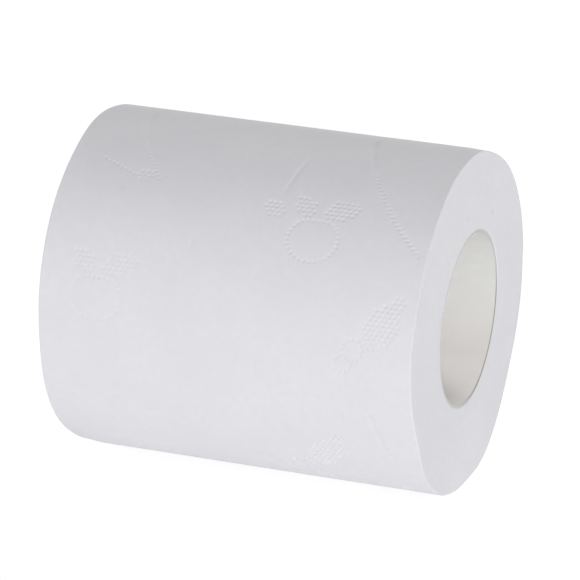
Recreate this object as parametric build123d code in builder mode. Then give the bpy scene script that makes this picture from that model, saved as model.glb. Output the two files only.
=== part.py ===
from build123d import *
from math import ceil, cos, floor, log, pi, radians, sin, sqrt
import os

# Toilet paper roll, lying on its side
#
# Lengths are in millimetres and angles in degrees. The roll's axis runs along X, its front faces -Y and
# +Z is up. The origin is under the middle of the roll, on the surface that it lies on. An angle round the
# roll starts at the front and goes over the top: 0 is the front, 90 the top, 180 the back, 270 the bottom.

# The wound paper
roll_width = 98.0
roll_diameter = 87.0
sheet_thickness = 0.4
tail_angle = 176.0
rim_softness = 0.8
flat_spot_sag = 0.4

# The hole, which sits a little above the middle, because the paper under it is pressed by the roll's weight
hole_diameter = 45.6
hole_rise = 0.8

# The card core
core_wall = 0.7
core_setback = 0.2
glue_line = 0.05

# The turns that stand out as a line on each end of the roll
turn_lines = 4
turn_line_width = 0.5
turn_line_depth = 0.35
turn_line_margin = 2.2

# The embossed dots, pressed into the outer turn
dot_width = 1.15
dot_depth = 0.35
outline_pitch = 2.1
packed_pitch = 1.8
dot_end_margin = 1.9

# The embossed motifs: length along a leaf or bunch, width across it, and how far it is turned from the axis
fruit_width = 13.0
fruit_height = 11.5
fruit_leaf_gap = 1.2
large_leaf = (8.5, 4.6, 35)
small_leaf = (5.5, 3.6, 150)
lone_leaf = (6.5, 4.4, 168)
bunch_body = (16.5, 7.2, 60)
bunch_belly = 0.42
bunch_stalk_loop = 4.8
curve_radius = 70.0
curve_start = 190.0
long_curve_sweep = 41.0
short_curve_sweep = 25.0

# How far a cutting shape stands out of the surface that it cuts
cut_clearance = 0.1

# What follows from these sizes
upper_radius = roll_diameter / 2 + sheet_thickness / 4
lower_radius = roll_diameter / 2 - sheet_thickness / 4
axis_height = lower_radius - flat_spot_sag
hole_radius = hole_diameter / 2
hole_height = axis_height + hole_rise
core_radius = hole_radius - glue_line
core_length = roll_width - 2 * core_setback

# The rim bends over in two flats, so that its three bends are equal
rim_bend = rim_softness / (1 + sqrt(3))


def outward(angle):
    """The direction that points out of the roll at an angle round it."""
    return Vector(0, -cos(radians(angle)), sin(radians(angle)))


# The outer turn grows by one sheet on its way round. It is two half turns about two centres: the lower half
# about the roll's axis, and the upper half, half a sheet larger, about a centre half a sheet nearer to the
# loose end. Each has its centre, its radius and the angle where it ends.
lower_centre = Vector(0, 0, axis_height)
upper_centre = lower_centre + outward(tail_angle) * (sheet_thickness / 2)
upper_half = (upper_centre, upper_radius, tail_angle)
lower_half = (lower_centre, lower_radius, tail_angle + 180)


def surface_plane(along, angle):
    """A plane that touches the outer turn, so far along the roll from its middle and at an angle round it."""
    on_upper_half = tail_angle - 180 <= angle < tail_angle
    centre, radius, _ = upper_half if on_upper_half else lower_half
    touch = centre + outward(angle) * radius + Vector(along, 0, 0)
    return Plane(touch, x_dir=(1, 0, 0), z_dir=outward(angle))


def turn_line_halves():
    """The line on an end as half turns from the hole outwards, each with its centre's height and its radius.

    Half turns start at the top and at the bottom by turns. The centre steps towards the half that comes
    next, by as much as the radius grows, so that each half runs on smoothly from the one before. Steps at
    the top are a little larger than steps at the bottom, which takes the line from the hole's centre down
    to the roll's axis.
    """
    first_radius = hole_radius + turn_line_margin
    last_radius = lower_radius - rim_softness - turn_line_margin
    joins = 2 * turn_lines - 1
    mean_step = (last_radius - first_radius) / joins
    drift = (hole_rise - mean_step) / joins
    height = hole_height
    radius = first_radius
    halves = []
    for half in range(2 * turn_lines):
        side = 1 if half % 2 == 0 else -1
        halves.append((height, radius, side))
        step = mean_step + side * drift
        height -= side * step
        radius += step
    return halves


# A motif is a list of dots on the flat sheet: X is along the roll and Y is up the sheet
def dotted_ring(width, height):
    """Dots along a closed round outline."""
    count = ceil(pi * (width + height) / 2 / outline_pitch)
    turns = [2 * pi * i / count for i in range(count)]
    return [Vector(width / 2 * cos(t), height / 2 * sin(t)) for t in turns]


def dotted_leaf(length, width, slant, belly=0.5):
    """Dots packed in a leaf shape that starts at (0, 0) and is widest at that share of its length."""
    row_gap = packed_pitch * sqrt(3) / 2
    sharpness = log(0.5) / log(belly)
    side_rows = floor(width / 2 / row_gap)
    dots = []
    for row in range(-side_rows, side_rows + 1):
        first = packed_pitch / 2 * (row % 2)
        for step in range(floor((length - first) / packed_pitch) + 1):
            along = first + step * packed_pitch
            reach = width / 2 * sin(pi * (along / length) ** sharpness)
            if abs(row * row_gap) <= reach:
                dots.append(Vector(along, row * row_gap).rotate(Axis.Z, slant))
    return dots


def dotted_curve(sweep):
    """A bent line of dots that starts at (0, 0) and runs down to the right."""
    count = ceil(radians(sweep) * curve_radius / outline_pitch)
    spoke = Vector(curve_radius, 0)
    spokes = [spoke.rotate(Axis.Z, curve_start + sweep * i / count) for i in range(count + 1)]
    return [point - spokes[0] for point in spokes]


def fruit():
    """A round fruit in outline, with two leaves on it."""
    leaf_foot = fruit_height / 2 + fruit_leaf_gap
    large = [dot + Vector(outline_pitch / 2, leaf_foot) for dot in dotted_leaf(*large_leaf)]
    small = [dot + Vector(-outline_pitch / 2, leaf_foot) for dot in dotted_leaf(*small_leaf)]
    return dotted_ring(fruit_width, fruit_height) + large + small


def bunch():
    """A slanting bunch of berries, with a loop of its stalk at the lower end."""
    loop_centre = Vector(-(bunch_stalk_loop + packed_pitch) / 2, 0)
    loop = [dot + loop_centre for dot in dotted_ring(bunch_stalk_loop, bunch_stalk_loop)]
    return dotted_leaf(*bunch_body, bunch_belly) + loop


# Where the motifs lie: how far along the roll from its middle, and the angle round it
motifs = [
    (fruit(), 19.0, 43.5),
    (fruit(), -34.0, 15.0),
    (dotted_leaf(*lone_leaf), 11.0, 52.0),
    (dotted_leaf(*lone_leaf), -28.0, 57.5),
    (bunch(), 36.0, 7.0),
    (bunch(), 22.5, -46.0),
    (dotted_curve(long_curve_sweep), 23.0, 97.0),
    (dotted_curve(short_curve_sweep), -36.0, 95.0),
]


def dot_planes():
    """A plane on the outer turn for each dot that the roll's cut ends leave on the sheet."""
    degrees_per_mm = 360 / (pi * roll_diameter)
    last_along = roll_width / 2 - rim_softness - dot_end_margin
    planes = []
    for dots, along, angle in motifs:
        for dot in dots:
            if abs(along + dot.X) <= last_along:
                planes.append(surface_plane(along + dot.X, angle + dot.Y * degrees_per_mm))
    return planes


# What one dot presses out of the paper: a four-sided point with its tip inwards
with BuildPart() as dot_point:
    mouth_width = dot_width * (dot_depth + cut_clearance) / dot_depth
    with BuildSketch(Plane.XY.offset(cut_clearance)) as dot_mouth:
        Rectangle(mouth_width, mouth_width)
    loft(sections=[dot_mouth.sketch.face(), Vertex(0, 0, -dot_depth)], ruled=True)

# Wound paper, all its turns in one piece
with BuildPart() as paper_roll:
    # The outer turn, with its rims softly bent over and the loose end's edge
    for centre, radius, end_angle in (upper_half, lower_half):
        with BuildSketch(Plane(centre, x_dir=(1, 0, 0), z_dir=outward(end_angle - 90))):
            with BuildLine():
                Polyline(
                    (0, 0),
                    (roll_width / 2, 0),
                    (roll_width / 2, radius - rim_softness),
                    (roll_width / 2 - rim_bend, radius - rim_bend),
                    (roll_width / 2 - rim_softness, radius),
                    (0, radius),
                )
                mirror(about=Plane.YZ)
            make_face()
        revolve(axis=Axis(centre, (1, 0, 0)), revolution_arc=180)

    # The flat spot that the roll lies on
    split(bisect_by=Plane.XY, keep=Keep.TOP)

    # The hole
    with BuildSketch(Plane.YZ.offset(-roll_width / 2)):
        with Locations((0, hole_height)):
            Circle(hole_radius)
    extrude(amount=roll_width, mode=Mode.SUBTRACT)

    # The line between turns, winding outwards on each end
    for end in (-1, 1):
        for height, radius, side in turn_line_halves():
            centre = Vector(end * roll_width / 2, 0, height)
            inner = radius - turn_line_width / 2
            outer = radius + turn_line_width / 2
            with BuildSketch(Plane(centre, x_dir=(0, 0, side), z_dir=(0, side * end, 0))):
                with BuildLine():
                    Polyline(
                        (radius, -turn_line_depth),
                        (outer, 0),
                        (outer, cut_clearance),
                        (inner, cut_clearance),
                        (inner, 0),
                        close=True,
                    )
                make_face()
            revolve(axis=Axis(centre, (1, 0, 0)), revolution_arc=180, mode=Mode.SUBTRACT)

    # The embossing
    with Locations(*dot_planes()):
        add(dot_point.part, mode=Mode.SUBTRACT)
paper_roll.part.label = "paper_roll"

# Card core, a little shorter than the paper is wide
with BuildPart() as card_core:
    with BuildSketch(Plane.YZ.offset(-core_length / 2)):
        with Locations((0, hole_height)):
            Circle(core_radius)
            Circle(core_radius - core_wall, mode=Mode.SUBTRACT)
    extrude(amount=core_length)
card_core.part.label = "card_core"

os.makedirs("parts", exist_ok=True)
export_step(paper_roll.part, "parts/paper_roll.step")
export_step(card_core.part, "parts/card_core.step")
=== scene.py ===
# %% [markdown]
# # A toilet paper roll, from sheet to studio
#
# The roll lies on its side: a white embossed sheet wound on a card core. This lesson dresses its two
# solids. The sheet is made flat, embossed and then wound up, as in the mill, and the core is wound from two
# strips of card. After that come the finishes, the floor, the light and the camera.
#
# Lengths are in metres. An angle round the roll is 0 at the front, 90 at the top, 180 at the back and 270
# at the bottom, where the roll lies on the floor.

from math import ceil, cos, exp, log, pi, radians, sin, sqrt

import bmesh
import bpy
from mathutils import Matrix, Vector, noise
from mathutils.kdtree import KDTree


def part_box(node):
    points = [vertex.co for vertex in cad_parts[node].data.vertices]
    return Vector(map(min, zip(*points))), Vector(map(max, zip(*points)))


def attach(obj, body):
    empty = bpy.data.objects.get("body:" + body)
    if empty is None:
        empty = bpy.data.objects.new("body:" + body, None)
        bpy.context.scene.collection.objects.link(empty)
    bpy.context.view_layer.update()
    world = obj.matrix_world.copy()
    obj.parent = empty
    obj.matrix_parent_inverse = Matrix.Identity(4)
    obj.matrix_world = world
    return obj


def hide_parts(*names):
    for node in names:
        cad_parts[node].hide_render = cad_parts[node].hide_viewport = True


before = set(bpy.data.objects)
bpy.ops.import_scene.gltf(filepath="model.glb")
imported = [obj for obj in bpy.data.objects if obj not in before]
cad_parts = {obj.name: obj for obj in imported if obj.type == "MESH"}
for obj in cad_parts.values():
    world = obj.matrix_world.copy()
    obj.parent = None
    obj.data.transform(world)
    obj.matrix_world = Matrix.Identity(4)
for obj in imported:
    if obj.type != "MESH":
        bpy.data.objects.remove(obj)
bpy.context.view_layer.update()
mm = 0.001
print("nodes:", sorted(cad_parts))

# %% [markdown]
# ## What the solids say
#
# The new meshes stand for the two solids, so their sizes come from the solids' boxes and nothing is fitted
# afterwards. The roll is as wide as its box and reaches the top of it. It would reach below the floor if it
# weren't for its flat spot. The core's box gives the hole, which sits a little above the roll's axis.

# %% Sizes from the boxes
roll_low, roll_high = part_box("paper_roll")
core_low, core_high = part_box("card_core")
glue_line = 0.05 * mm

half_width = (roll_high.x - roll_low.x) / 2
roll_radius = (roll_high.y - roll_low.y) / 2
axis_height = roll_high.z - roll_radius

core_half = (core_high.x - core_low.x) / 2
core_radius = (core_high.z - core_low.z) / 2
hole_height = (core_high.z + core_low.z) / 2
hole_radius = core_radius + glue_line
hole_rise = hole_height - axis_height
print(f"roll radius {roll_radius / mm:.2f} mm, hole radius {hole_radius / mm:.2f} mm")
print(f"the flat spot lowers the roll by {(roll_radius - axis_height) / mm:.2f} mm")

# %% [markdown]
# ## The winding
#
# A sheet 0.4 mm thick fills the space between the core and the outside with about fifty turns. The number
# of turns is rounded, so that the sheet's thickness divides the space evenly: then each turn's edge ends
# exactly where the next one starts, and the whole roll is one unbroken spiral. The loose end lies on the
# back.

# %% Turns and the loose end
paper_thickness = 0.4 * mm
turns = round((roll_radius - hole_radius) / paper_thickness)
sheet = (roll_radius - hole_radius) / turns
depth = turns * sheet
start_radius = roll_radius - sheet / 2
tail_angle = 176.0
half_run = pi * roll_radius
print(f"{turns} turns of a sheet {sheet / mm:.3f} mm thick")


def run_at(angle):
    """Where an angle round the roll lies on the outer turn, as a length along the sheet from its middle."""
    return roll_radius * radians((angle - tail_angle) % 360) - half_run


# %% [markdown]
# ## The embossing, as lists of dots
#
# Tissue is embossed between rollers, which press small dots into it and hold its plies together. The motifs
# are a round fruit with two leaves, a bunch of berries, a twig, single leaves and long bent lines. Each is
# a plain list of points on the flat sheet, where X is along the roll and Y is up the sheet: points are easy
# to pack, turn and count, and the mesh can ask how far it is from the nearest one.

# %% Dots along a line and dots in a leaf
outline_pitch = 1.37 * mm
packed_pitch = 1.35 * mm
half_bar = Vector((0.3 * mm, 0))
dimple_spread = 0.42


def turned(points, degrees):
    """Points turned about (0, 0)."""
    spin = Matrix.Rotation(radians(degrees), 2)
    return [spin @ Vector(point) for point in points]


def dotted_ring(width, height, dimple=0.0):
    """Dots along a closed round outline, which may dip at its top, as a fruit does at its stalk."""
    count = ceil(pi * (width + height) / 2 / outline_pitch)
    points = []
    for i in range(count):
        turn = 2 * pi * i / count
        dip = 1 - dimple * exp(-((turn - pi / 2) / dimple_spread) ** 2)
        points.append(Vector((width / 2 * cos(turn), height / 2 * sin(turn))) * dip)
    return points


def dotted_leaf(length, width, slant, belly=0.5):
    """The dots of a level grid that fall in a leaf from (0, 0), widest at its belly's share of its length."""
    row_gap = packed_pitch * sqrt(3) / 2
    sharpness = log(0.5) / log(belly)
    reach = ceil(length / row_gap)
    midrib = turned([(1, 0)], slant)[0]
    points = []
    for row in range(-reach, reach + 1):
        for step in range(-reach, reach + 1):
            point = Vector(((step + row % 2 / 2) * packed_pitch, row * row_gap))
            share = point.dot(midrib) / length
            if 0 < share < 1 and abs(point.cross(midrib)) < width / 2 * sin(pi * share ** sharpness):
                points.append(point)
    return points


def dotted_curve(radius, start, sweep):
    """A bent line that starts at (0, 0), made of pairs of dots that touch, so that each is a short bar."""
    count = ceil(radians(sweep) * radius / outline_pitch)
    points = []
    for i in range(count + 1):
        spoke = turned([(radius, 0)], start + sweep * i / count)[0] - turned([(radius, 0)], start)[0]
        points += [spoke - half_bar, spoke + half_bar]
    return points


print(f"dots {outline_pitch / mm:.2f} mm apart along a line and {packed_pitch / mm:.2f} mm in a leaf")

# %% [markdown]
# ## The motifs
#
# The photograph shows faint motifs that are slightly smeared, and an embossed pattern like this is common on
# tissue. So each motif is drawn by a plain rule instead of being copied: a ring with a dimple, a leaf packed
# with dots, or an arc. A table then lays them out over the whole sheet, because the pattern doesn't stop at
# the back.

# %% The motifs
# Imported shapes: length, width, and how far they are turned from the roll's axis
large_leaf = (10.5 * mm, 6.4 * mm, 28)
small_leaf = (7.5 * mm, 5.4 * mm, 140)
fallen_leaf = (7.5 * mm, 5.2 * mm, 168)
narrow_leaf = (6.5 * mm, 3.4 * mm, 5)
berries = (17.5 * mm, 8.4 * mm, 60)
berries_belly = 0.42

# The fruit's outline, and where its two leaves start
fruit_width = 13 * mm
fruit_height = 11.5 * mm
fruit_dimple = 0.14
leaf_gap = 0.6 * mm
leaf_offset = 0.9 * mm

# The twig's stem, the two loops of the bunch's stalk (width and middle), and the bent lines
stem_dots = 8
stem_slant = -24
stalk_loops = [(5.2 * mm, (-3.2 * mm, 0.2 * mm)), (4.2 * mm, (-5.6 * mm, -3.6 * mm))]
curve_radius = 70 * mm
curve_start = 190


def fruit():
    """A round fruit in outline, with a large and a small leaf on it."""
    foot = fruit_height / 2 + leaf_gap
    large = [p + Vector((leaf_offset, foot)) for p in dotted_leaf(*large_leaf)]
    small = [p + Vector((-leaf_offset, foot)) for p in dotted_leaf(*small_leaf)]
    return dotted_ring(fruit_width, fruit_height, fruit_dimple) + large + small


def lone_leaf():
    """A single leaf that has come off its stalk."""
    return dotted_leaf(*fallen_leaf)


def twig():
    """A thin twig that slants down to the right, with a narrow leaf at its end."""
    stem = turned([(i * outline_pitch, 0) for i in range(stem_dots)], stem_slant)
    return stem + [p + stem[-1] for p in dotted_leaf(*narrow_leaf)]


def bunch():
    """A slanting bunch of berries, with two loops of its stalk at the lower end."""
    points = dotted_leaf(*berries, berries_belly)
    for width, middle in stalk_loops:
        points += [p + Vector(middle) for p in dotted_ring(width, width)]
    return points


def long_curve():
    """A bent line that runs a sixth of the way round the roll."""
    return dotted_curve(curve_radius, curve_start, 41)


def short_curve():
    """The same line, cut shorter."""
    return dotted_curve(curve_radius, curve_start, 25)


for motif in (fruit, lone_leaf, twig, bunch, long_curve, short_curve):
    print(motif.__name__, "has", len(motif()), "dots")

# %% The layout
# How far each motif lies along the roll in millimetres, the angle round it, and how deep it is pressed
motifs = [
    (fruit, 19, 43.5, 0.9),
    (fruit, -34, 15, 0.55),
    (lone_leaf, 11, 52, 1.0),
    (twig, -40, 64, 0.6),
    (bunch, 36.7, 9.7, 0.75),
    (bunch, 20.5, -42, 1.0),
    (lone_leaf, 25, -53, 1.0),
    (short_curve, 37.5, -12, 0.4),
    (long_curve, 23, 97, 0.8),
    (short_curve, -36, 95, 0.55),
    (bunch, -8, 117, 0.8),
    (fruit, 33, 131, 0.8),
    (lone_leaf, 24, 145, 0.8),
    (fruit, -30, 150, 0.8),
    (long_curve, -4, 166, 0.8),
    (fruit, 12, 201, 0.9),
    (bunch, -22, 189, 0.8),
    (lone_leaf, 38, 214, 0.9),
    (fruit, -24, 232, 0.9),
    (short_curve, 30, 246, 0.8),
    (bunch, 8, 226, 0.8),
    (lone_leaf, -38, 252, 0.8),
    (fruit, 34, 292, 0.8),
    (bunch, -30, 287, 0.7),
]

# Dots stop short of the rims and of the loose end. Their depth drifts about its mean over patches.
dot_last_along = half_width - 1.9 * mm
dot_last_run = half_run - 7 * mm
mean_press = 0.9
press_drift = 0.5
drift_patch = 6 * mm


def embossed_dots():
    """Each dot on the outer turn: how far along the roll, how far along the sheet, and how deep.

    The rollers are never quite parallel, so the depth drifts from place to place. As in each noise of this
    lesson, the odd number at its end only picks a part of the noise that nothing else uses.
    """
    dots = []
    for motif, along, angle, strength in motifs:
        place = Vector((along * mm, run_at(angle)))
        for point in motif():
            dot = place + point
            patch = noise.noise(Vector((dot.x / drift_patch, dot.y / drift_patch, 9.3)))
            if abs(dot.x) <= dot_last_along and abs(dot.y) <= dot_last_run:
                dots.append((dot.x, dot.y, strength * (mean_press + press_drift * patch)))
    return dots


dots = embossed_dots()
print(len(motifs), "motifs with", len(dots), "dots")

# %% [markdown]
# ## The pleats
#
# A few short pleats in the outer turn, where the sheet slipped a little while it was wound. Each is a
# valley with a steep side on its left and a long slope on its right, and it fades out at both ends. They
# matter because they are the largest marks on the sheet that aren't regular. A cloth simulation could fold
# the sheet, but it wouldn't put a pleat in a chosen place, and a formula for the height does.

# %% Pleats
# Where each starts and ends, along the roll in millimetres and round it in degrees, then its depth and the
# width of its long slope in millimetres
pleats = [
    (7.6, 56, 10.6, 80, 0.21, 0.9),
    (-11.8, 33, -11.4, 40, 0.12, 0.8),
    (-20.0, 205, -16.5, 225, 0.20, 1.0),
]


def pleat_lines():
    """Each pleat on the flat sheet: its two ends, its depth and the width of its long slope."""
    lines = []
    for x0, angle0, x1, angle1, fall, slope in pleats:
        first = Vector((x0 * mm, run_at(angle0)))
        last = Vector((x1 * mm, run_at(angle1)))
        lines.append((first, last, fall * mm, slope * mm))
    return lines


pleat_valleys = pleat_lines()
print(len(pleat_valleys), "pleats")


def pleat_height(point):
    """How far the pleats move a point of the flat sheet, which is down."""
    height = 0.0
    for first, last, fall, slope in pleat_valleys:
        line = last - first
        share = (point - first).dot(line) / line.length_squared
        if 0 < share < 1:
            gap = (point - first).cross(line) / line.length
            width = slope if gap > 0 else slope / 3
            fade = 1 - (2 * share - 1) ** 2
            height -= fall * fade * exp(-((gap / width) ** 2))
    return height


# %% [markdown]
# ## The flat block
#
# Before it is wound, the roll is a flat block. Its section is a rectangle with the outer turn's skin on
# top, the hole's wall at the bottom, and the sheet's edges, turn by turn, on the two sides. The rectangle's
# edges are divided by `subdivide_edges`, with two steps for each turn, and `spin` with no angle pushes the
# section along the sheet step by step. A cylinder couldn't be used, because its ends have no turns.

# %% The block
cells_round = 144
cells_along = 52
cells_along_hole = 8


def flat_block():
    """The outer turn laid out flat, with all the turns under it: X along the roll, Y along the sheet."""
    bm = bmesh.new()
    upright = Matrix.Rotation(pi / 2, 4, "X")
    bmesh.ops.create_grid(bm, x_segments=1, y_segments=1, size=0.5, matrix=upright)
    bmesh.ops.scale(bm, vec=(2 * half_width, 1, depth), verts=bm.verts)
    bmesh.ops.translate(bm, vec=(0, -half_run, -depth / 2), verts=bm.verts)
    bmesh.ops.delete(bm, geom=bm.faces[:], context="FACES_ONLY")
    for edge in bm.edges[:]:
        middle = (edge.verts[0].co + edge.verts[1].co) / 2
        if abs(middle.x) > half_width / 2:
            cells = 2 * turns
        elif middle.z > -depth / 2:
            cells = cells_along
        else:
            cells = cells_along_hole
        bmesh.ops.subdivide_edges(bm, edges=[edge], cuts=cells - 1)
    step = (0, 2 * half_run / cells_round, 0)
    section = bm.verts[:] + bm.edges[:]
    bmesh.ops.spin(bm, geom=section, axis=(1, 0, 0), cent=(0, 0, 0), dvec=step, angle=0, steps=cells_round)
    return bm


block = flat_block()
print("flat block:", len(block.verts), "points,", len(block.faces), "faces")

# %% [markdown]
# ## Small faces where there is detail
#
# A dot is 1.4 mm across, and the block's faces are almost 2 mm. Making all of them small would take a
# million faces. So only the faces near a dot, a pleat or the loose end are divided, up to three times over,
# and the rest of the sheet stays coarse. A line is cut near each rim too: without it, the smooth shading
# would spread the rim's narrow rounding over the whole last row of faces.

# %% Refining
# A face is divided if a detail is within this length of its middle, plus this share of the face's size
base_cell = 2 * half_width / cells_along
fine_reach = 0.75 * mm
cell_reach = 0.55
fine_levels = 3

# Near the loose end all faces are divided, but less often
tail_reach = 2.2 * mm
tail_levels = 2

rim_line = half_width - 0.3 * mm
skin_tolerance = 1e-9
plane_tolerance = 1e-7

# Points along each pleat, and how far they lie from its valley, as shares of its long slope's width
pleat_step = 0.6 * mm
pleat_shares = (-0.2, 0.5, 1.2)


def detail_tree():
    """A search tree of all the dots, with points along the pleats."""
    points = [Vector((x, y, 0)) for x, y, _ in dots]
    for first, last, _, slope in pleat_valleys:
        steps = ceil((last - first).length / pleat_step)
        for i in range(steps + 1):
            point = first.lerp(last, i / steps)
            for share in pleat_shares:
                points.append(Vector((point.x + share * slope, point.y, 0)))
    tree = KDTree(len(points))
    for i, point in enumerate(points):
        tree.insert(point, i)
    tree.balance()
    return tree


def on_skin(face):
    """Whether a face is part of the outer turn's skin."""
    return all(vert.co.z > -skin_tolerance for vert in face.verts)


def refine(bm):
    """Divide the faces of the skin that are near a detail."""
    tree = detail_tree()
    for level in range(fine_levels):
        cell = base_cell / 2 ** level
        chosen = set()
        for face in bm.faces:
            if not on_skin(face):
                continue
            middle = face.calc_center_median()
            near_tail = half_run - abs(middle.y) < tail_reach and level < tail_levels
            if near_tail or tree.find(middle)[2] < fine_reach + cell * cell_reach:
                chosen.update(face.edges)
        bmesh.ops.subdivide_edges(bm, edges=list(chosen), cuts=1, use_grid_fill=True)


def hold_rims(bm):
    """Cut a line round the skin near each rim, which keeps the rim's rounding narrow."""
    for side in (-1, 1):
        skin = [face for face in bm.faces if on_skin(face)]
        edges = {edge for face in skin for edge in face.edges}
        points = {vert for face in skin for vert in face.verts}
        parts = [*skin, *edges, *points]
        line = (side * rim_line, 0, 0)
        bmesh.ops.bisect_plane(bm, geom=parts, dist=plane_tolerance, plane_co=line, plane_no=(1, 0, 0))


refine(block)
hold_rims(block)
print("refined block:", len(block.faces), "faces")

# %% [markdown]
# ## Pressing the dots
#
# The embossing roller presses a round dimple into the sheet at each dot, and the sheet round a group of
# dots goes down with them a little. The pleats fold it down too. A very slow wave stands for the uneven
# tension of soft paper. All of it is a height over the flat sheet, so it is far easier to do now than on
# the finished roll. Near the rims and the sheet's two ends it fades out, so that these stay straight for
# the winding.

# %% Embossing
dot_reach = 0.68 * mm
dot_depth = 0.28 * mm
group_depth = 0.05 * mm
group_reach = 1.5 * mm
wave_height = 0.05 * mm
wave_along = 30 * mm
wave_round = 22 * mm
calm_rim = 3 * mm
calm_end = 8 * mm


def ramp(share):
    """A smooth step from 0 to 1."""
    share = max(0.0, min(1.0, share))
    return share * share * (3 - 2 * share)


def emboss(bm):
    """Move the points of the skin up and down."""
    tree = KDTree(len(dots))
    for i, (x, y, _) in enumerate(dots):
        tree.insert((x, y, 0), i)
    tree.balance()
    lifts = []
    for vert in bm.verts:
        if vert.co.z < -skin_tolerance:
            continue
        point = vert.co.copy()
        _, index, gap = tree.find(point)
        strength = dots[index][2]
        height = pleat_height(point.xy)
        height += wave_height * noise.noise(Vector((point.x / wave_along, point.y / wave_round, 3.1)))
        height -= group_depth * strength * exp(-((gap / group_reach) ** 2))
        if gap < dot_reach:
            height -= dot_depth * strength * (1 + cos(pi * gap / dot_reach)) / 2
        near_rim = ramp((half_width - abs(point.x)) / calm_rim)
        near_end = ramp((half_run - abs(point.y)) / calm_end)
        lift = height * near_rim * near_end
        vert.co.z += lift
        lifts.append(lift)
    print(f"the skin moved by {min(lifts) / mm:.2f} to {max(lifts) / mm:.2f} mm")


emboss(block)

# %% [markdown]
# ## The loose end
#
# The sheet's end is torn along its perforation, so its edge has small teeth. It lifts a little off the turn
# below. `extrude_edge_only` makes it in six steps: down the sheet's edge, back under the flap, down to the
# turn below, and out again along it. On the inside of the hole, two more make the step where the sheet
# begins. Each step ends on a point of the block's sides, so that everything welds.

# %% The flap and the sheet's beginning
cell_round = 2 * half_run / cells_round
same_place = 0.005 * mm
flap_length = 9 * mm
flap_lift = 0.45 * mm
flap_patch = 26 * mm
mean_lift = 0.6
lift_drift = 0.8
least_lift = 0.1
tooth_pitch = 4.0 * mm
tooth_height = 0.35 * mm
tooth_bluntness = 0.6
tooth_patch = 1.3 * mm
tooth_reach = 1.2 * mm


def pushed(bm, edges, vec):
    """Extrude a chain of edges and move it. Gives the new chain's edges."""
    made = bmesh.ops.extrude_edge_only(bm, edges=edges)["geom"]
    points = [item for item in made if isinstance(item, bmesh.types.BMVert)]
    bmesh.ops.translate(bm, vec=vec, verts=points)
    return [item for item in made if isinstance(item, bmesh.types.BMEdge)]


def chain_at(bm, y, lowest, highest):
    """The free edges across the block at one of its ends, between two heights."""
    chain = []
    for edge in bm.edges:
        ends = [vert.co for vert in edge.verts]
        level = all(abs(p.y - y) < same_place and lowest < p.z < highest for p in ends)
        if edge.is_boundary and level and abs(ends[0].x - ends[1].x) > same_place:
            chain.append(edge)
    return chain


def open_pocket(bm):
    """Take away the sides of the gap between the flap and the turn below."""
    sides = []
    for face in bm.faces:
        middle = face.calc_center_median()
        at_side = abs(middle.x) > half_width - same_place
        if at_side and -sheet < middle.z < -sheet / 2 and half_run - middle.y < 2 * cell_round:
            sides.append(face)
    bmesh.ops.delete(bm, geom=sides, context="FACES")
    return len(sides)


def teeth(x):
    """How far the torn edge stands out at a place along the roll."""
    ripple = abs(sin(pi * x / tooth_pitch)) ** tooth_bluntness
    uneven = noise.noise(Vector((x / tooth_patch, 0, 7.7)))
    return tooth_height * (ripple - 0.5 + 0.5 * uneven)


def loose_end(bm):
    """Give the last turn its torn, lifted end, and the first turn its beginning."""
    print("sides taken from the pocket:", open_pocket(bm))
    chain = chain_at(bm, half_run, -sheet / 4, sheet / 4)
    down, back, out = (0, 0, -sheet / 2), (0, -cell_round, 0), (0, cell_round, 0)
    for step in (down, back, back, down, out, out):
        chain = pushed(bm, chain, step)
    chain = chain_at(bm, -half_run, -depth - sheet / 4, -depth + sheet / 4)
    for _ in range(2):
        chain = pushed(bm, chain, (0, 0, sheet / 2))
    bmesh.ops.remove_doubles(bm, verts=bm.verts, dist=same_place)
    for vert in bm.verts:
        from_end = half_run - vert.co.y
        if from_end < flap_length and vert.co.z > -sheet * 0.75:
            share = 1 - from_end / flap_length
            uneven = mean_lift + lift_drift * noise.noise(Vector((vert.co.x / flap_patch, 0, 1.9)))
            vert.co.z += flap_lift * share ** 2 * max(least_lift, uneven)
            vert.co.y += teeth(vert.co.x) * max(0.0, 1 - from_end / tooth_reach)


loose_end(block)
print("with its loose end:", len(block.faces), "faces")

# %% [markdown]
# ## What makes a soft roll uneven
#
# No two rolls are quite round. The card core is pressed out of round in its carton, the outer turns sink a
# little at the top, the saw leaves the ends a little askew, and their rims wave and get knocked in at a
# corner. All of this could be pushed by hand in sculpting, but then it would be lost at the next winding.
# Here each unevenness is a sum of smooth swells round the roll, which the winding asks for as it goes.

# %% Swells round the roll
# The core's bulges, the waves of the two rims and the knocks in their edges. Each has its middle and its
# width in degrees, and how far it reaches outwards, or inwards for a knock, in millimetres.
core_bends = [(152, 42, 0.85), (285, 35, -0.5)]
right_waves = [
    (10, 20, -0.8),
    (45, 20, -0.6),
    (78, 22, -0.85),
    (112, 17, -0.85),
    (216, 14, -0.27),
    (253, 14, 0.45),
    (288, 10, -0.6),
    (335, 12, 0.55),
]
left_waves = [(306, 13, -1.0), (356, 14, -0.28), (44, 18, 0.14), (84, 12, 0.25), (105, 8, -0.55)]
right_knocks = [(116, 9, 0.3)]
left_knocks = [(299, 14, 0.5)]
knock_width = 6 * mm

# How far the outer turns have sunk, and at which angle most
top_sinking = 0.19 * mm
sinking_angle = 111

# How the saw left the ends: the right one stands out all round and leans, and the left one leans. Each lean
# is in millimetres, towards an angle.
right_cut = (0.3, 0.2, 130)
left_cut = (0.5, 70)


def swell(angle, swells):
    """How high a sum of smooth swells stands at an angle round the roll."""
    height = 0.0
    for middle, width, reach in swells:
        from_middle = (angle - radians(middle) + pi) % (2 * pi) - pi
        height += reach * mm * exp(-((from_middle / radians(width)) ** 2))
    return height


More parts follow.
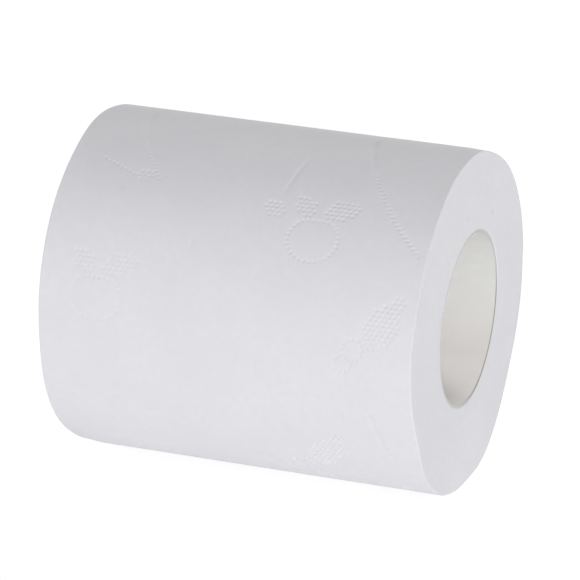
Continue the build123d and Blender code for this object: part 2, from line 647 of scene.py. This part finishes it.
def sunk(angle):
    """How far the outer turns have sunk at an angle, which is most at the top."""
    return top_sinking * max(0.0, cos(angle - radians(sinking_angle))) ** 2


def knocked(x, angle):
    """How far the edge of an end is knocked in, close to its rim."""
    knocks = right_knocks if x > 0 else left_knocks
    return swell(angle, knocks) * ramp(1 - (half_width - abs(x)) / knock_width)


def leaning(x, angle):
    """How far the rim of an end stands out at an angle, because the saw doesn't cut quite square."""
    if x > 0:
        stand, lean, towards = right_cut
        return (stand + lean * cos(angle - radians(towards))) * mm + swell(angle, right_waves)
    lean, towards = left_cut
    return lean * mm * cos(angle - radians(towards)) + swell(angle, left_waves)


for name, waves in (("right", right_waves), ("left", left_waves)):
    swells = [swell(radians(angle), waves) / mm for angle in range(360)]
    print(f"the {name} rim waves from {min(swells):.2f} to {max(swells):.2f} mm")

# %% [markdown]
# ## The turns' edges
#
# On the two ends, the edge of each turn shows as a fine line. The saw leaves some turns a hair further out
# than others, and the valley between two turns is dark. A bump texture would give the lines without depth,
# and it couldn't follow the spiral. The mesh has two points for each turn, so one can stand out and the
# next go in.

# %% Relief of the ends
groove = 0.035 * mm
turn_scatter = 0.045 * mm
end_waviness = 0.09 * mm

# How fast the scatter changes from turn to turn and round the roll, and how slowly the broad waves do
scatter_step = 2.3
scatter_round = 1.5
broad_turns = 14
broad_round = 0.8


def end_relief(level, turn, angle):
    """How far a point of an end stands out, at so many half sheets under the skin and at an angle."""
    winding = level / 2 - turn
    ring = Vector((winding * scatter_step, cos(angle) * scatter_round, sin(angle) * scatter_round))
    relief = turn_scatter * noise.noise(ring)
    broad = Vector((winding / broad_turns, cos(angle) * broad_round, sin(angle) * broad_round + 5))
    relief += end_waviness * noise.noise(broad)
    if level % 2 == 0:
        relief -= groove
    return relief - turn_scatter


print(f"turns differ by up to {2 * turn_scatter / mm:.2f} mm, and the grooves are {groove / mm:.3f} mm deep")

# %% [markdown]
# ## Winding it up
#
# One rule bends the block into a roll. A point's place along the sheet becomes an angle, its height becomes
# a radius, and the radius grows by one sheet in a turn. After that the two ends of the block meet, one turn
# apart, and `remove_doubles` welds them: the turns are now a true spiral. The same pass rounds the rims,
# adds the unevenness and the relief of the ends, and lets the hole sit above the axis. A Simple Deform
# modifier could bend the block too, but it can't make the radius grow on the way round.

# %% Winding
rim_softness = 0.11 * mm
hole_softness = 0.2 * mm
meeting = 10 * mm
settling_turns = 8
settling_sharpness = 11


def rounded(distance, softness):
    """How far a rounded rim has dropped at a distance from it."""
    if distance >= softness:
        return 0.0
    return softness - sqrt(softness ** 2 - (softness - max(0.0, distance)) ** 2)


def wind(bm):
    """Bend the flat block into the roll."""
    for vert in bm.verts:
        x, run, height = vert.co
        at_end = abs(x) > half_width - plane_tolerance
        turn = (run + half_run) / (2 * half_run)
        angle = radians(tail_angle) + 2 * pi * turn

        # The inner turns lie on the round core, and step up over the sheet's beginning just before it
        from_hole = (depth + height) / (settling_turns * sheet)
        sharpness = 1 + settling_sharpness * max(0.0, 1 - from_hole) ** 2
        radius = start_radius + height + sheet * max(0.0, turn) ** sharpness
        inwards = max(0.0, (roll_radius - radius) / (roll_radius - hole_radius))
        outwards = min(1.0, 1 - inwards)
        radius += swell(angle, core_bends) * inwards ** 3 - (sunk(angle) + knocked(x, angle)) * outwards

        # The rims are rounded by the depth under the surface, which is a sheet more just past the loose end
        below = -min(0.0, height) + sheet * (1 - ramp(turn * 2 * half_run / meeting))
        drop = rounded(below, rim_softness) + rounded(depth - below, hole_softness)
        x *= (half_width - drop + leaning(x, angle) * outwards) / half_width

        if at_end:
            side = 1 if x > 0 else -1
            x += side * end_relief(round(-height / (sheet / 2)), turn, angle)

        vert.co = (x, -cos(angle) * radius, sin(angle) * radius + axis_height + hole_rise * inwards)
    bmesh.ops.remove_doubles(bm, verts=bm.verts, dist=same_place)
    gaps = [edge for edge in bm.edges if not edge.is_manifold]
    print("open edges after welding:", len(gaps))


wind(block)

# %% [markdown]
# ## The flat spot
#
# Soft paper can't touch a floor along a line: its weight presses a strip of it flat. The skin's underside
# is eased up to the floor by a curve that has no corner, and the turns above it take up what is left, less
# and less the higher they are. Cutting the bottom off would be simpler, but it would cut through the turns.

# %% Flat spot
bottom_angle = 270
bottom_radius = start_radius + sheet * (bottom_angle - tail_angle) / 360
easing = 1.25
ease = (bottom_radius - axis_height) * easing
press_depth = 5 * mm
print(f"the skin starts to leave its circle {ease / mm:.2f} mm above the floor")


def press_flat(bm):
    """Press the bottom of the roll flat."""
    for vert in bm.verts:
        y, z = vert.co.y, vert.co.z
        if z > axis_height or abs(y) > roll_radius / 2:
            continue
        skin = axis_height - sqrt(bottom_radius ** 2 - y ** 2)
        if skin < ease:
            flat = (skin + ease) ** 2 / (4 * ease) if skin > -ease else 0.0
            fade = exp(-max(0.0, z - skin) / press_depth)
            vert.co.z = max(0.0, z + (flat - skin) * fade)
    lowest = min(vert.co.z for vert in bm.verts)
    print(f"lowest point {lowest / mm:.3f} mm")


press_flat(block)

# %% [markdown]
# ## From bmesh to object
#
# A bmesh is only a shape. To be rendered it becomes the mesh of an object, with a material. Paper and card
# have no facets, so the faces are shaded smoothly, and only angles over a given size stay sharp. One helper
# does this for both pieces.

# %% Finishing a piece
def finished(bm, name, material, sharp):
    """Turn a bmesh into a named piece with one material, smooth faces and normals that point out."""
    bmesh.ops.recalc_face_normals(bm, faces=bm.faces)
    mesh = bpy.data.meshes.new(name)
    bm.to_mesh(mesh)
    bm.free()
    for face in mesh.polygons:
        face.use_smooth = True
    mesh.set_sharp_from_angle(angle=radians(sharp))
    mesh.materials.append(material)
    piece = bpy.data.objects.new(name, mesh)
    bpy.context.scene.collection.objects.link(piece)
    triangles = sum(len(face.vertices) - 2 for face in mesh.polygons)
    print(name, "has", triangles, "triangles")
    return piece


# %% [markdown]
# ## Nodes for the finishes
#
# Every finish is made of nodes that read Object coordinates, which are metres here, so a noise of scale
# 1000 has grains about a millimetre wide. A few small helpers add a node and join it up.

# %% Node helpers
# Most values of a noise lie between these two
noise_low = 0.3
noise_high = 0.7


def new_material(name):
    """A material with an empty node tree, apart from its shader."""
    material = bpy.data.materials.new(name)
    material.use_nodes = True
    return material, material.node_tree, material.node_tree.nodes["Principled BSDF"]


def add_node(tree, kind, values=None, **settings):
    """Add a node, set its properties, and set or link its inputs by name or number."""
    node = tree.nodes.new(kind)
    for key, value in settings.items():
        setattr(node, key, value)
    for key, value in (values or {}).items():
        if isinstance(value, bpy.types.NodeSocket):
            tree.links.new(value, node.inputs[key])
        else:
            node.inputs[key].default_value = value
    return node


def maths(tree, operation, *values):
    """One calculation with numbers."""
    return add_node(tree, "ShaderNodeMath", dict(enumerate(values)), operation=operation).outputs[0]


def distance_from(tree, place, point):
    """How far each place is from a point."""
    values = {0: place, 1: point}
    return add_node(tree, "ShaderNodeVectorMath", values, operation="DISTANCE").outputs["Value"]


def noise_field(tree, coordinates, scale, detail=3.0, stretch=(1, 1, 1), place=(0, 0, 0)):
    """A noise in object space, stretched along the axes."""
    values = {"Vector": coordinates, "Scale": stretch, "Location": place}
    mapping = add_node(tree, "ShaderNodeMapping", values)
    values = {"Vector": mapping.outputs[0], "Scale": scale, "Detail": detail}
    return add_node(tree, "ShaderNodeTexNoise", values).outputs["Fac"]


def blended(tree, low, high, amount):
    """A colour between two colours, each of which is three numbers or another node's colour."""
    mix = add_node(tree, "ShaderNodeMix", {"Factor": amount}, data_type="RGBA")
    ends = [socket for socket in mix.inputs if socket.type == "RGBA"]
    for socket, colour in zip(ends, (low, high)):
        if isinstance(colour, bpy.types.NodeSocket):
            tree.links.new(colour, socket)
        else:
            socket.default_value = (*colour, 1)
    return [socket for socket in mix.outputs if socket.type == "RGBA"][0]


def spread(tree, value, low, high, to_low=0.0, to_high=1.0):
    """Map a value from one range to another."""
    names = {"Value": value, "From Min": low, "From Max": high, "To Min": to_low, "To Max": to_high}
    return add_node(tree, "ShaderNodeMapRange", names).outputs["Result"]


def bumped(tree, shader, height, strength, relief):
    """Join a bump to a shader: fine relief that is only in its shading."""
    bump = add_node(tree, "ShaderNodeBump", {"Height": height, "Strength": strength, "Distance": relief})
    tree.links.new(bump.outputs["Normal"], shader.inputs["Normal"])


# %% [markdown]
# ## The tissue
#
# White tissue is matt, faintly blue, and never quite even. A slow noise makes its cloudy whiteness, and a
# finer one the thin places between clumps of fibres. Two very fine ones make its surface: crepe wrinkles
# that run along the roll, because the sheet is scraped off its drier across its width, and loose fibres.
# They are bump, being far finer than the mesh. Three specks of dust lie on it, each found by its distance
# from a point.

# %% Tissue material
cloud_dark = (0.775, 0.775, 0.808)
cloud_light = (0.805, 0.805, 0.835)
thin_tissue = (0.755, 0.755, 0.788)
most_thin = 0.5
dust_grey = (0.69, 0.685, 0.69)
tissue_relief = 0.06 * mm
tissue_bump = 0.22

# Scales of the noises, which are about the number of grains to a metre
cloud_scale = 55
clump_scale = 560
crepe_scale = 1500
fibre_scale = 5200

# Where the specks of dust are, in millimetres, and how grey each is
speck_places = [(49.0, 17.6, 66.3, 1.0), (49.0, -2.0, 71.6, 1.0), (-33.1, -26.3, 77.8, 0.4)]
speck_radius = 1.0 * mm


def specks(tree, place):
    """How grey the dust makes a place, which is 0 where there is none."""
    dust = 0.0
    for *spot, grey in speck_places:
        gap = distance_from(tree, place, [length * mm for length in spot])
        dust = maths(tree, "MAXIMUM", dust, spread(tree, gap, speck_radius, speck_radius / 10, 0.0, grey))
    return dust


def tissue_material():
    """Matt white embossed tissue."""
    material, tree, shader = new_material("white_tissue")
    place = add_node(tree, "ShaderNodeTexCoord").outputs["Object"]
    clouds = spread(tree, noise_field(tree, place, cloud_scale, 4), noise_low, noise_high)
    clumps = noise_field(tree, place, clump_scale, 2, place=(5, 2, 8))
    cloudy = blended(tree, cloud_dark, cloud_light, clouds)
    clean = blended(tree, cloudy, thin_tissue, spread(tree, clumps, noise_low, noise_high, 0.0, most_thin))
    colour = blended(tree, clean, dust_grey, specks(tree, place))
    tree.links.new(colour, shader.inputs["Base Color"])

    crepe = noise_field(tree, place, crepe_scale, 2, stretch=(0.16, 1, 1))
    fibres = noise_field(tree, place, fibre_scale, 3, stretch=(0.5, 1, 1), place=(3, 1, 2))
    bumped(tree, shader, maths(tree, "ADD", crepe, fibres), tissue_bump, tissue_relief)

    roughness = spread(tree, fibres, 0.2, 0.8, 0.88, 1.0)
    tree.links.new(roughness, shader.inputs["Roughness"])
    shader.inputs["Specular IOR Level"].default_value = 0.25
    shader.inputs["Sheen Weight"].default_value = 0.08
    shader.inputs["Sheen Roughness"].default_value = 0.6
    print(material.name, "has", len(tree.nodes), "nodes")
    return material


tissue = tissue_material()

# %% The wound paper, finished
roll = finished(block, "wound_paper", tissue, sharp=75)
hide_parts("paper_roll")
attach(roll, "root")

# %% [markdown]
# ## The card core
#
# The core is two strips of pale card, wound side by side into a tube like the stripes on a barber's pole,
# one strip inside the other. A strip is a flat grid here too. It gets its thickness while it is flat, and
# it is rolled with a twist, so that its two long edges meet in a helical seam. The seams are half a turn
# apart.

# %% Strips of card
core_wall = 0.7 * mm
ply_gap = 0.02 * mm
seam_lead = 82 * mm
seam_gap = 0.35 * mm
seam_phase = 5.2  # how far round the inner strip is turned, in radians
strip_cells_along = 60
strip_cells_round = 96
ruffle_height = 0.03 * mm
ruffle_patch = 9 * mm
ruffle_round = 2


def card_strip(inner, outer, phase):
    """One strip of card, wound into a tube with a helical seam."""
    bm = bmesh.new()
    bmesh.ops.create_grid(bm, x_segments=strip_cells_along, y_segments=strip_cells_round, size=0.5)
    around = 2 * pi - seam_gap / inner
    bmesh.ops.scale(bm, vec=(2 * core_half, around, 1), verts=bm.verts)
    bmesh.ops.solidify(bm, geom=bm.faces[:], thickness=inner - outer)
    lift = inner - min(vert.co.z for vert in bm.verts)
    for vert in bm.verts:
        x, turn, height = vert.co
        angle = turn + 2 * pi * x / seam_lead + phase
        radius = height + lift + swell(angle, core_bends)
        ruffle = noise.noise(Vector((x / ruffle_patch, cos(angle) * ruffle_round, sin(angle) * ruffle_round)))
        if height + lift < (inner + outer) / 2:
            radius += ruffle_height * ruffle
        vert.co = (x, -cos(angle) * radius, sin(angle) * radius + hole_height)
    return bm


def joined(first, second):
    """Two bmeshes as one."""
    spare = bpy.data.meshes.new("spare")
    second.to_mesh(spare)
    second.free()
    first.from_mesh(spare)
    bpy.data.meshes.remove(spare)
    return first


middle_radius = core_radius - core_wall / 2
inner_ply = card_strip(core_radius - core_wall, middle_radius - ply_gap, seam_phase)
outer_ply = card_strip(middle_radius, core_radius, seam_phase + pi)
core_mesh = joined(inner_ply, outer_ply)
print("two strips of card:", len(core_mesh.faces), "faces")

# %% [markdown]
# ## The card's finish
#
# Core card is made of waste paper: off-white above and warmer lower down, with darker flecks. Its lowest part
# is made lighter: that is painted light, standing in for light at the bottom of the hole. Its cut ends are
# darker than its faces, because there the layers show and the light sinks in, and the right one has painted
# shade at its lower back. Height, length and the distance from a point say where each colour goes, so
# nothing has to be unwrapped or painted in a texture.

# %% Card material
cool_dark = (0.765, 0.765, 0.75)
cool_light = (0.795, 0.795, 0.782)
warm_card = (0.785, 0.763, 0.745)
# Painted light: the card's lowest part is made lighter to stand in for light at the bottom of the hole
painted_light_card = (0.95, 0.925, 0.90)
fleck_grey = (0.66, 0.65, 0.60)
cut_grey = (0.61, 0.61, 0.60)
# Painted shade: the right cut end darkens at its lower back
painted_shade_grey = (0.40, 0.39, 0.33)

# Between which heights the card gets warm, and then lightest, which is painted light
warm_heights = (46 * mm, 33 * mm)
painted_light_heights = (28.5 * mm, 22.5 * mm)

# The middle of the painted shade at the right cut end, how far it reaches, and how far it is at its darkest
painted_shade_middle = (core_half, 17 * mm, 30 * mm)
painted_shade_reach = 23 * mm
painted_shade_heart = 13 * mm

# The relief, and the scales of the noises
card_relief = 0.05 * mm
card_bump = 0.3
mottle_scale = 420
fleck_scale = 2600
grain_scale = 2200


def card_faces(tree, place, height):
    """The colour of the card's faces: cool above, warm below, painted light at the bottom, with flecks."""
    mottle = noise_field(tree, place, mottle_scale, 4, stretch=(0.5, 1, 1))
    cool = blended(tree, cool_dark, cool_light, spread(tree, mottle, noise_low, noise_high))
    # The lightest colour at the bottom is painted light
    warm = blended(tree, warm_card, painted_light_card, spread(tree, height, *painted_light_heights))
    face = blended(tree, cool, warm, spread(tree, height, *warm_heights))
    flecks = spread(tree, noise_field(tree, place, fleck_scale, 2), 0.68, 0.78)
    return blended(tree, face, fleck_grey, flecks)


def card_material():
    """Off-white recycled card."""
    material, tree, shader = new_material("pale_card")
    place = add_node(tree, "ShaderNodeTexCoord").outputs["Object"]
    parts = add_node(tree, "ShaderNodeSeparateXYZ", {0: place}).outputs
    # Painted shade on the right cut end, darkest at its lower back
    painted_shade_amount = spread(tree, distance_from(tree, place, painted_shade_middle), painted_shade_reach, painted_shade_heart)
    end = blended(tree, cut_grey, painted_shade_grey, painted_shade_amount)
    from_middle = maths(tree, "ABSOLUTE", parts["X"])
    at_cut = spread(tree, from_middle, core_half - 0.2 * mm, core_half - 0.05 * mm)
    colour = blended(tree, card_faces(tree, place, parts["Z"]), end, at_cut)
    tree.links.new(colour, shader.inputs["Base Color"])

    bumped(tree, shader, noise_field(tree, place, grain_scale, 3), card_bump, card_relief)
    shader.inputs["Roughness"].default_value = 0.55
    shader.inputs["Specular IOR Level"].default_value = 0.35
    print(material.name, "has", len(tree.nodes), "nodes")
    return material


card = card_material()

# %% The core, finished
core = finished(core_mesh, "wound_card_core", card, sharp=40)
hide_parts("card_core")
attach(core, "root")

# %% [markdown]
# ## Floor and surroundings
#
# The photograph is a white cut-out, so the floor and the air look white to the camera. For the light itself
# the floor is a pale table that glows a little: Light Path tells the two apart. The camera's floor still
# holds a little diffuse shading, and with it the roll's own soft shadow. A brighter floor or more light
# would be white too, but it would wash out the roll.

# %% Floor
white = (1, 1, 1, 1)
floor_size = 4
seen_glow = 0.772
seen_shade = (0.42, 0.42, 0.42, 1)
table_glow = 0.20
table_shade = (0.8, 0.8, 0.8, 1)


def seen(tree):
    """1 for what the camera sees, also in gloss or through glass, and 0 for the light itself."""
    rays = add_node(tree, "ShaderNodeLightPath").outputs
    direct = maths(tree, "MAXIMUM", rays["Is Camera Ray"], rays["Is Glossy Ray"])
    return maths(tree, "MAXIMUM", direct, rays["Is Transmission Ray"])


def glowing(tree, strength, shade):
    """A matt surface that glows a little."""
    glow = add_node(tree, "ShaderNodeEmission", {"Color": white, "Strength": strength})
    matt = add_node(tree, "ShaderNodeBsdfDiffuse", {"Color": shade})
    return add_node(tree, "ShaderNodeAddShader", {0: glow.outputs[0], 1: matt.outputs[0]}).outputs[0]


def white_floor():
    """A large floor that looks white and keeps a soft shadow."""
    bm = bmesh.new()
    bmesh.ops.create_grid(bm, x_segments=1, y_segments=1, size=floor_size)
    mesh = bpy.data.meshes.new("floor")
    bm.to_mesh(mesh)
    bm.free()
    floor_plane = bpy.data.objects.new("floor", mesh)
    bpy.context.scene.collection.objects.link(floor_plane)
    material = bpy.data.materials.new("studio_floor")
    material.use_nodes = True
    tree = material.node_tree
    tree.nodes.clear()
    table = glowing(tree, table_glow, table_shade)
    ground = glowing(tree, seen_glow, seen_shade)
    mix = add_node(tree, "ShaderNodeMixShader", {0: seen(tree), 1: table, 2: ground})
    add_node(tree, "ShaderNodeOutputMaterial", {"Surface": mix.outputs[0]})
    mesh.materials.append(material)
    print("floor:", 2 * floor_size, "m square")


white_floor()


# %% Air
sky_light = 0.32


def white_air():
    """Soft, even light from all round, and white behind the roll."""
    world = bpy.data.worlds.new("studio_air")
    bpy.context.scene.world = world
    world.use_nodes = True
    tree = world.node_tree
    tree.nodes.clear()
    even = add_node(tree, "ShaderNodeBackground", {"Color": white, "Strength": sky_light})
    backdrop = add_node(tree, "ShaderNodeBackground", {"Color": white, "Strength": 1.0})
    mix = add_node(tree, "ShaderNodeMixShader", {0: seen(tree), 1: even.outputs[0], 2: backdrop.outputs[0]})
    add_node(tree, "ShaderNodeOutputWorld", {"Surface": mix.outputs[0]})
    print("even light of strength", sky_light)


white_air()

# %% [markdown]
# ## The lamps
#
# Four soft lamps light the roll. The key stands low in front and a little to the right, so the front is the
# brightest part and the top is the darkest, and each dot gets a light and a dark wall. It is large and far
# away, so both ends get the same of it. One lamp behind lifts the top, one on the left the far rim, and a
# small one on the right reaches the end and the hole.

# %% Lamps
def softbox(name, azimuth, elevation, distance, size, power):
    """A square area light that points at the roll. Azimuth 0 is in front, and 90 is at the right end."""
    light = bpy.data.lights.new(name, "AREA")
    light.shape = "SQUARE"
    light.size = size
    light.energy = power
    lamp = bpy.data.objects.new(name, light)
    turn, tilt = radians(azimuth), radians(elevation)
    way = Vector((sin(turn) * cos(tilt), -cos(turn) * cos(tilt), sin(tilt)))
    lamp.location = Vector((0, 0, axis_height)) + way * distance
    lamp.rotation_euler = way.to_track_quat("Z", "Y").to_euler()
    bpy.context.scene.collection.objects.link(lamp)
    print(f"{name}: {power} W from {distance} m")


# The azimuth and the elevation in degrees, the distance and the size in metres, and the power in watts
softbox("key_light", 27.5, 7.1, 5.0, 1.25, 126)
softbox("back_light", 177, 26.7, 1.8, 1.0, 11.9)
softbox("left_light", -80, 18, 1.8, 0.7, 5.3)
softbox("right_light", 90, 35, 1.2, 0.8, 1.7)

# %% [markdown]
# ## The camera
#
# The camera stands a metre away with a long lens, at the photograph's viewing angle, found by fitting the
# roll's outline. The lens shift puts the roll where it lies in the photograph's frame. The other way would
# be to turn the camera aside, but that would change the perspective.

# %% Camera
camera_azimuth = radians(20.51)
camera_elevation = radians(22.30)
camera_distance = 1044 * mm
camera_aim_height = 43.1 * mm
frame_pixels = 580
focal_pixels = 4121.9
roll_left_of_centre = 4.89
roll_below_centre = 7.15

camera_data = bpy.data.cameras.new("camera")
camera_data.sensor_width = 36
camera_data.lens = focal_pixels * camera_data.sensor_width / frame_pixels
camera_data.shift_x = roll_left_of_centre / frame_pixels
camera_data.shift_y = roll_below_centre / frame_pixels
camera = bpy.data.objects.new("camera", camera_data)
level = cos(camera_elevation)
look_back = Vector((sin(camera_azimuth) * level, -cos(camera_azimuth) * level, sin(camera_elevation)))
camera.location = Vector((0, 0, camera_aim_height)) + look_back * camera_distance
camera.rotation_euler = look_back.to_track_quat("Z", "Y").to_euler()
bpy.context.scene.collection.objects.link(camera)
bpy.context.scene.camera = camera
bpy.context.scene.view_settings.view_transform = "Standard"
print(f"lens {camera_data.lens:.1f} mm at {camera_distance:.2f} m")
